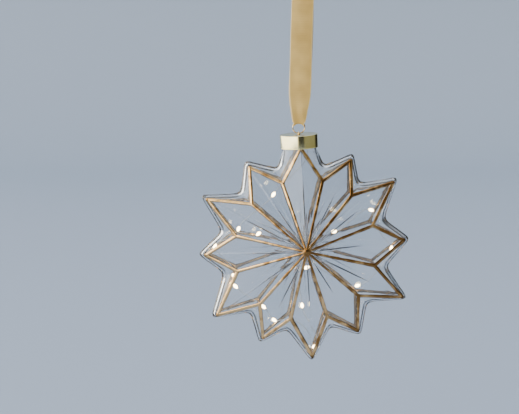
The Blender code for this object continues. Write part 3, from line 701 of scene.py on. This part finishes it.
def start_tree(title, *sizes):
    """A node tree that takes a mesh and named sizes: the tree and what enters it."""
    tree = bpy.data.node_groups.new(title, "GeometryNodeTree")
    tree.interface.new_socket("Geometry", in_out="INPUT", socket_type="NodeSocketGeometry")
    for size in sizes:
        tree.interface.new_socket(size, in_out="INPUT", socket_type="NodeSocketFloat")
    tree.interface.new_socket("Geometry", in_out="OUTPUT", socket_type="NodeSocketGeometry")
    return tree, tree.nodes.new("NodeGroupInput").outputs


def carried(tree, name, data_type="FLOAT"):
    """What the points carry under this name."""
    kind = "GeometryNodeInputNamedAttribute"
    return new_node(tree, kind, {"Name": name}, data_type=data_type).outputs["Attribute"]


def swept(tree, curve, inputs, **profile):
    """A closed tube along a curve."""
    circle = new_node(tree, "GeometryNodeCurvePrimitiveCircle", profile)
    inputs = {"Curve": curve, "Profile Curve": circle.outputs["Curve"], **inputs}
    made = new_node(tree, "GeometryNodeCurveToMesh", {"Fill Caps": True, **inputs})
    return made.outputs["Mesh"]


def placed(tree, mesh, selection, shape, inputs):
    """A copy of a shape on each selected point of a mesh."""
    dots = new_node(tree, "GeometryNodeMeshToPoints", {"Mesh": mesh, "Selection": selection})
    shape_node = new_node(tree, "GeometryNodeObjectInfo", {"Object": shape})
    inputs = {"Instance": shape_node.outputs["Geometry"], **inputs}
    inputs["Points"] = dots.outputs["Points"]
    return new_node(tree, "GeometryNodeInstanceOnPoints", inputs).outputs["Instances"]


def made_real(tree, parts):
    """Instances turned into plain mesh."""
    made = new_node(tree, "GeometryNodeRealizeInstances", {"Geometry": parts})
    return made.outputs["Geometry"]


def put_out(tree, mesh, material):
    """Give the mesh its material and put it out of the tree."""
    inputs = {"Geometry": mesh, "Material": material}
    coated = new_node(tree, "GeometryNodeSetMaterial", inputs).outputs["Geometry"]
    new_node(tree, "NodeGroupOutput", {"Geometry": coated})


def paint_tree(material, drop):
    """Sweeps a round bead of paint along each line, sets a drop of paint where lines meet, and
    marks the bead's steep flanks for painted shade.
    """
    tree, entry = start_tree("painted lines", "Bead radius", "Unevenness", "Flatness")
    mesh, bead_radius = entry["Geometry"], entry["Bead radius"]
    lines = new_node(tree, "GeometryNodeMeshToCurve", {"Mesh": mesh}).outputs["Curve"]
    noise = new_node(tree, "ShaderNodeTexNoise", {"Scale": 130.0, "Detail": 1.0})
    swing = number(tree, "SUBTRACT", noise.outputs["Fac"], 0.5)
    uneven = number(tree, "MULTIPLY", swing, entry["Unevenness"])
    whole = number(tree, "ADD", uneven, carried(tree, "taper"))
    width = number(tree, "MULTIPLY", whole, bead_radius)
    beads = swept(tree, lines, {"Scale": width}, Resolution=10, Radius=1.0)
    lump = carried(tree, "drop")
    is_lump = new_node(
        tree, "FunctionNodeCompare", {"A": lump, "B": 0.01},
        data_type="FLOAT", operation="GREATER_THAN",
    ).outputs["Result"]
    lump_radius = number(tree, "MULTIPLY", lump, bead_radius)
    drops = placed(tree, mesh, is_lump, drop, {"Scale": lump_radius})
    join = new_node(tree, "GeometryNodeJoinGeometry", {"Geometry": beads})
    fill_in(tree, join, {"Geometry": drops})
    solid = made_real(tree, join.outputs["Geometry"])
    out_of_face = carried(tree, "out_of_face", "FLOAT_VECTOR")
    place = tree.nodes.new("GeometryNodeInputPosition").outputs["Position"]
    from_core = vector(tree, "SUBTRACT", place, carried(tree, "core", "FLOAT_VECTOR"))
    rise = vector(tree, "DOT_PRODUCT", from_core, out_of_face)
    sink = number(tree, "MULTIPLY", rise, entry["Flatness"])
    down = vector(tree, "SCALE", out_of_face, sink)
    flat = new_node(tree, "GeometryNodeSetPosition", {"Geometry": solid, "Offset": down})
    # Painted shade: where a bead's surface turns steeply away from the face, it is marked to take
    # the dark brown paint colour.
    normal = tree.nodes.new("GeometryNodeInputNormal").outputs["Normal"]
    level = number(tree, "ABSOLUTE", vector(tree, "DOT_PRODUCT", normal, out_of_face))
    under = spread(tree, level, 0.0, 1.0, 0.90, 0.50)
    kept = {"Geometry": flat.outputs["Geometry"], "Name": "under", "Value": under}
    kept = new_node(
        tree, "GeometryNodeStoreNamedAttribute", kept, data_type="FLOAT", domain="POINT"
    )
    smooth = {"Geometry": kept.outputs["Geometry"]}
    smooth = new_node(tree, "GeometryNodeSetShadeSmooth", smooth)
    put_out(tree, smooth.outputs["Geometry"], material)
    return tree


def grown(piece, tree, values):
    """Run a node tree on a piece, keep the plain mesh that comes out."""
    modifier = piece.modifiers.new("grown", "NODES")
    modifier.node_group = tree
    for item in tree.interface.items_tree:
        if item.in_out == "INPUT" and item.name in values:
            modifier[item.identifier] = values[item.name]
    return settled(piece)


def on_glass(flat, side):
    """The spot on the glass straight behind a flat (across, up) place, and the way it faces."""
    start = Vector((flat.x, -side * 80 * MM, flat.y))
    hit, normal, _, _ = skin_tree.ray_cast(start, Vector((0, side, 0)))
    if hit is None:
        hit, normal, _, _ = skin_tree.find_nearest(Vector((flat.x, -side * tip_depth, flat.y)))
    return hit, normal


line_step, line_inset = 1.4 * MM, 0.1 * MM


def painted_lines(name, side, tree, bead):
    """The web of lines on one face."""
    bm = bmesh.new()
    taper = bm.verts.layers.float.new("taper")
    drop = bm.verts.layers.float.new("drop")
    out_of_face = bm.verts.layers.float_vector.new("out_of_face")
    core = bm.verts.layers.float_vector.new("core")

    def spot(flat, width):
        hit, normal = on_glass(flat, side)
        vert = bm.verts.new(hit - normal * line_inset)
        vert[taper] = width
        vert[out_of_face] = normal
        vert[core] = vert.co.copy()
        return vert

    def line(first, last, width_a, width_b, lump):
        count = max(4, int((last - first).length / line_step))
        chain = [
            spot(first.lerp(last, i / count), width_a + (width_b - width_a) * i / count)
            for i in range(count + 1)
        ]
        chain[-1][drop] = lump
        for a, b in zip(chain, chain[1:]):
            bm.edges.new((a, b))

    tip_draw_in, notch_draw_in = 0.994, 0.996
    for k in range(points):
        tip = point_corner(k)[0].xz * (tip_draw_in if k else 1.0)
        before, after = [notch_corner(n)[0].xz * notch_draw_in for n in (k - 1, k)]
        line(before, tip, 1.0, 0.95, 1.0)
        line(after, tip, 1.0, 0.95, 1.0)
        line(Vector((0, 0)), after, 0.62, 1.0, 1.12)
    web = new_piece(name, bm)
    grown(web, tree, {"Bead radius": bead, "Unevenness": 0.55, "Flatness": -0.68})
    web.data.transform(into_place)
    return web


drop_mesh = bmesh.new()
bmesh.ops.create_uvsphere(drop_mesh, u_segments=14, v_segments=8, radius=1.0)
paint_drop = new_piece("paint_drop_guide", drop_mesh, smooth=180)
gold_paint = gold_paint_material()
paint_lines = paint_tree(gold_paint, paint_drop)
dome_radius, dome_height, dome_sunk = 3.3 * MM, 1.15 * MM, 0.75 * MM
for face, side, bead in (("front", 1, 1.5 * MM), ("back", -1, 1.6 * MM)):
    web = painted_lines(f"{face}_painted_lines", side, paint_lines, bead)
    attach(web, "star")
    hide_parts(f"{face}_gold_lines")
    dome = bmesh.new()
    bmesh.ops.create_uvsphere(dome, u_segments=48, v_segments=24, radius=1.0)
    for vert in dome.verts:
        around = math.atan2(vert.co.z, vert.co.x)
        reach = dome_radius * (1 + 0.10 * math.cos(12 * around))
        vert.co = Vector((vert.co.x * reach, vert.co.y * dome_height, vert.co.z * reach))
    bmesh.ops.translate(dome, vec=(0, -side * (face_depth - dome_sunk), 0), verts=dome.verts)
    dome_piece = new_piece(f"{face}_centre_drop", dome, smooth=180)
    dome_piece.data.transform(into_place)
    coat(dome_piece, gold_paint)
    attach(dome_piece, "star")
bpy.data.objects.remove(paint_drop)

# ---- light string --------------------------------------------------------------------------------
# Two lacquered silver wires twisted together carry fifteen warm white lights, each under a drop of
# clear resin. The string starts at the battery plug and wanders through the hollow of the star.


def silver_wire_material():
    """Thin bright wire under lacquer."""
    made, tree, shader, broad, fine = start_material("silver wire", metallic=0.5, scale=500.0)
    fill_in(tree, shader, {
        "Base Color": two_tone(tree, broad, (0.86, 0.86, 0.85), (0.98, 0.97, 0.95)),
        "Roughness": spread(tree, fine, 0.18, 0.32),
        "Coat Weight": 0.5,
    })
    return made


def light_material():
    """A lit resin drop: near-white at the heart, amber towards its skin."""
    made, tree, shader, broad, _ = start_material("warm light", scale=300.0)
    facing = new_node(tree, "ShaderNodeLayerWeight", {"Blend": 0.35}).outputs["Facing"]
    fill_in(tree, shader, {
        "Base Color": two_tone(tree, broad, (1.0, 0.80, 0.50), (1.0, 0.90, 0.68)),
        "Emission Color": two_tone(tree, facing, (1.0, 0.87, 0.56), (1.0, 0.50, 0.11), 0.25, 0.85),
        "Emission Strength": 10.0,
        "Roughness": 0.15,
    })
    return made


light_count = 15
lights = [node_middle(f"light_{k:02d}") for k in range(1, light_count + 1)]
bush = node_middle("wire_bush")
string_start = Vector((bush.x, bush.y, cap_base - 6.0 * MM))
string_pull = 0.55
string_bows = {4: (5, 0, 0), 8: (8, 0, 10), 13: (-7, 0, -1)}
bead_length = 3.4 * MM


def light_direction(k):
    """Which way the string runs through light k."""
    before = lights[k - 1] if k else lights[0] + Vector((8, 10, 22)) * MM
    after = lights[k + 1] if k + 1 < light_count else lights[k] + Vector((-6, 0, 8)) * MM
    return (after - before).normalized()


def hermite(a, b, at_a, at_b, s):
    """A smooth run from a to b that leaves and arrives along the given directions."""
    return (
        a * (2 * s**3 - 3 * s**2 + 1)
        + at_a * (s**3 - 2 * s**2 + s)
        + b * (-2 * s**3 + 3 * s**2)
        + at_b * (s**3 - s**2)
    )


string_route = [string_start]
leave, heading = string_start, Vector((0.1, 0.1, -1))
string_steps, straight = 20, bead_length / 2 + 0.6 * MM
for k in range(light_count):
    direction = light_direction(k)
    arrive = lights[k] - direction * straight
    pull = (arrive - leave).length * string_pull
    bow = Vector(string_bows.get(k, (0, 0, 0))) * MM
    for step in range(1, string_steps):
        share = step / string_steps
        spot = hermite(leave, arrive, heading * pull, direction * pull, share)
        string_route.append(spot + bow * math.sin(math.pi * share))
    string_route.append(arrive)
    leave, heading = lights[k] + direction * straight, direction
    string_route.append(leave)


def twist_tree(material):
    """Two thin strands wound round each other along a route."""
    sizes = ("Strand radius", "Pair radius", "Twist length", "Step")
    tree, entry = start_tree("twisted pair", *sizes)
    route = new_node(tree, "GeometryNodeMeshToCurve", {"Mesh": entry["Geometry"]})
    even = {"Curve": route.outputs["Curve"], "Length": entry["Step"]}
    even = new_node(tree, "GeometryNodeResampleCurve", even, mode="LENGTH").outputs["Curve"]
    normal = tree.nodes.new("GeometryNodeInputNormal").outputs["Normal"]
    tangent = tree.nodes.new("GeometryNodeInputTangent").outputs["Tangent"]
    side = vector(tree, "CROSS_PRODUCT", tangent, normal)
    along = tree.nodes.new("GeometryNodeSplineParameter").outputs["Length"]
    turns = number(tree, "DIVIDE", along, entry["Twist length"])
    join = tree.nodes.new("GeometryNodeJoinGeometry")
    for phase in (0.0, math.pi):
        angle = number(tree, "MULTIPLY_ADD", turns, math.tau, phase)
        shifts = []
        for operation, axis in (("COSINE", normal), ("SINE", side)):
            wave = number(tree, operation, angle)
            reach = number(tree, "MULTIPLY", wave, entry["Pair radius"])
            shifts.append(vector(tree, "SCALE", axis, reach))
        wound = {"Geometry": even, "Offset": vector(tree, "ADD", *shifts)}
        wound = new_node(tree, "GeometryNodeSetPosition", wound).outputs["Geometry"]
        strand = swept(tree, wound, {}, Resolution=6, Radius=entry["Strand radius"])
        fill_in(tree, join, {"Geometry": strand})
    put_out(tree, made_real(tree, join.outputs["Geometry"]), material)
    return tree


def route_mesh(route):
    """A bare chain of edges through the route."""
    bm = bmesh.new()
    verts = [bm.verts.new(p) for p in route]
    for a, b in zip(verts, verts[1:]):
        bm.edges.new((a, b))
    return bm


twisted_pair = twist_tree(silver_wire_material())
pair_sizes = {
    "Strand radius": 0.20 * MM,
    "Pair radius": 0.19 * MM,
    "Twist length": 3.2 * MM,
    "Step": 0.5 * MM,
}
lead_top, lead_end, lead_steps = cap_top - 3.8 * MM, cap_base - 5.7 * MM, 12
lead_route = [
    Vector((bush.x, bush.y, lead_top + (lead_end - lead_top) * i / lead_steps))
    for i in range(lead_steps + 1)
]
for name, route, node, body in (
    ("string_wire", string_route, "light_string", "star"),
    ("lead_wire", lead_route, "wire_lead", "cap"),
):
    pair = new_piece(name, route_mesh(route))
    grown(pair, twisted_pair, pair_sizes)
    pair.data.shade_smooth()
    pair.data.transform(into_place)
    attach(pair, body)
    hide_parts(node)


def light_tree(material, shape):
    """Sets a resin drop at each light, turned to follow the string."""
    tree, entry = start_tree("lights on the string", "Drop size")
    way = carried(tree, "way", "FLOAT_VECTOR")
    aim = new_node(tree, "FunctionNodeAlignRotationToVector", {"Vector": way}, axis="Z")
    turned_drop = {"Rotation": aim.outputs["Rotation"], "Scale": entry["Drop size"]}
    drops = placed(tree, entry["Geometry"], True, shape, turned_drop)
    put_out(tree, made_real(tree, drops), material)
    return tree


drop_shape = bmesh.new()
bmesh.ops.create_uvsphere(drop_shape, u_segments=20, v_segments=14, radius=1.0)
drop_width, drop_length = 0.68, 1.15
for vert in drop_shape.verts:
    waist = drop_width * (1.0 - 0.10 * vert.co.z)
    vert.co = Vector((vert.co.x * waist, vert.co.y * waist, vert.co.z * drop_length))
resin_guide = new_piece("resin_guide", drop_shape, smooth=180)
spots = bmesh.new()
spots_way = spots.verts.layers.float_vector.new("way")
for k, light in enumerate(lights):
    spots.verts.new(light)[spots_way] = light_direction(k)
glow_drops = new_piece("resin_lights", spots)
grown(glow_drops, light_tree(light_material(), resin_guide), {"Drop size": 2.1 * MM})
glow_drops.data.shade_smooth()
glow_drops.data.transform(into_place)
bpy.data.objects.remove(resin_guide)
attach(glow_drops, "star")
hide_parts(*[f"light_{k:02d}" for k in range(1, light_count + 1)])

# ---- battery plug and timer, inside the cap ------------------------------------------------------
# The plug that pushes into the glass neck: white moulded holder and lid, soft sleeve, two coin
# cells between brass strips, and above them the green timer board with its chip and slide switch.


def plain_material(name, dark, light, rough, scale, metallic=0.0, bump=0.15):
    """Moulded, rubber, ceramic or plated finish with its own grain."""
    made, tree, shader, broad, fine = start_material(name, metallic=metallic, scale=scale)
    fill_in(tree, shader, {
        "Base Color": two_tone(tree, broad, dark, light),
        "Roughness": spread(tree, fine, *rough),
        "Normal": raised(tree, fine, bump, 0.00005),
    })
    return made


def board_material():
    """Green solder mask with copper tracks showing through and pale solder pads."""
    made, tree, shader, broad, fine = start_material("circuit board", scale=90.0)
    tracks = new_node(tree, "ShaderNodeTexBrick", {
        "Vector": tree.nodes.new("ShaderNodeTexCoord").outputs["Object"],
        "Scale": 260.0,
        "Mortar Size": 0.06,
        "Color1": (0.012, 0.13, 0.05, 1.0),
        "Color2": (0.016, 0.17, 0.065, 1.0),
        "Mortar": (0.05, 0.30, 0.12, 1.0),
    }).outputs
    fill_in(tree, shader, {
        "Base Color": tracks["Color"],
        "Roughness": spread(tree, fine, 0.25, 0.4),
        "Normal": raised(tree, tracks["Fac"], 0.3, 0.00004),
    })
    return made


white_plastic = plain_material(
    "white moulded plastic", (0.74, 0.73, 0.69), (0.83, 0.82, 0.79), (0.38, 0.52), 160.0
)
black_plastic = plain_material(
    "black moulded plastic", (0.012, 0.012, 0.013), (0.03, 0.03, 0.032), (0.35, 0.5), 300.0
)
soft_rubber = plain_material(
    "soft clear rubber", (0.55, 0.55, 0.53), (0.68, 0.68, 0.66), (0.5, 0.65), 200.0
)
plated_steel = plain_material(
    "plated steel", (0.58, 0.58, 0.58), (0.78, 0.78, 0.77), (0.2, 0.34), 150.0, 1.0, 0.2
)
spring_brass = plain_material(
    "spring brass", (0.62, 0.42, 0.16), (0.80, 0.60, 0.29), (0.22, 0.36), 180.0, 1.0, 0.2
)
fired_ceramic = plain_material(
    "fired ceramic", (0.62, 0.56, 0.44), (0.78, 0.72, 0.60), (0.45, 0.6), 500.0
)
for material, inner_nodes in (
    (board_material(), ("circuit_board",)),
    (black_plastic, ("timer_chip", "switch_knob")),
    (plated_steel, ("timing_crystal", "switch_body", "cell_upper", "cell_lower")),
    (fired_ceramic, ("series_resistor",)),
    (spring_brass, ("contact_plus", "contact_minus")),
    (white_plastic, ("battery_holder", "battery_lid")),
    (soft_rubber, ("neck_sleeve", "wire_bush")),
):
    for node in inner_nodes:
        coat(frame["nodes"][node], material)

# ---- studio --------------------------------------------------------------------------------------
# A plain pale floor that curves up well behind the hanging star. The room is one broad soft light
# on the left, a dark gap beside the camera, a dim fill on the right and a soft top light. What is
# seen past the floor, or straight through the glass, is the same plain pale tone.
sweep = bmesh.new()
floor_height, floor_half, wall_half = -0.47, 1.5, 1.9
curve_start, curve_radius, floor_front, wall_top = 2.4, 0.6, -3.0, 3.0
sweep_line = [(floor_front, floor_height, floor_half), (0.0, floor_height, floor_half)]
for i in range(13):
    turn = math.pi / 2 * i / 12
    rise = floor_height + curve_radius * (1 - math.cos(turn))
    sweep_line.append((curve_start + curve_radius * math.sin(turn), rise, wall_half))
sweep_line.append((curve_start + curve_radius, wall_top, wall_half))
left_side = [sweep.verts.new((-half, y, z)) for y, z, half in sweep_line]
right_side = [sweep.verts.new((half, y, z)) for y, z, half in sweep_line]
for i in range(len(sweep_line) - 1):
    sweep.faces.new((left_side[i], right_side[i], right_side[i + 1], left_side[i + 1]))
floor = new_piece("pale_sweep", sweep, smooth=60)
floor_finish = bpy.data.materials.new("pale paper")
floor_finish.use_nodes = True
paper = floor_finish.node_tree.nodes["Principled BSDF"]
paper.inputs["Base Color"].default_value = (0.40, 0.46, 0.56, 1.0)
paper.inputs["Roughness"].default_value = 0.9
coat(floor, floor_finish)

world = bpy.data.worlds.new("studio room")
world.use_nodes = True
air = world.node_tree
sky = air.nodes.new("ShaderNodeTexCoord").outputs["Generated"]
way = new_node(air, "ShaderNodeSeparateXYZ", {"Vector": sky}).outputs
bearing = number(air, "ARCTAN2", way["X"], number(air, "MULTIPLY", way["Y"], -1.0))
round_share = spread(air, bearing, 0.0, 1.0, -math.pi, math.pi)
bright, gap, fill, black = (1.0, 0.975, 0.90), (0.012,) * 3, (0.095, 0.095, 0.072), (0.006,) * 3
pale, top_light = (0.150, 0.178, 0.212), (0.34, 0.36, 0.39)


def round_the_room(stops):
    """Colour by compass bearing, 0 straight ahead of the star and -90 on its left."""
    made = new_node(air, "ShaderNodeValToRGB", {"Fac": round_share})
    steps = made.color_ramp.elements
    for i, (degrees, color) in enumerate(stops):
        share = (degrees + 180) / 360
        stop = steps[i] if i < 2 else steps.new(share)
        stop.position = share
        stop.color = (*color, 1.0)
    return made.outputs["Color"]


mirrored = round_the_room(
    ((-180, bright), (-17, bright), (-8, gap), (22, gap), (31, fill), (104, fill), (118, black))
)
through_glass = round_the_room(
    ((-180, bright), (-100, bright), (-60, pale), (90, pale), (112, pale), (128, (0.02,) * 3))
)
ray = air.nodes.new("ShaderNodeLightPath").outputs
overhead = spread(air, way["Z"], 0.0, 1.0, 0.35, 0.85)
room = mixed(air, ray["Is Transmission Ray"], mirrored, through_glass)
room = mixed(air, overhead, room, (*top_light, 1.0))
room = mixed(air, ray["Is Camera Ray"], room, (*pale, 1.0))
fill_in(air, air.nodes["Background"], {"Color": room, "Strength": 2.9})
bpy.context.scene.world = world
bpy.context.scene.view_settings.look = "AgX - Medium High Contrast"
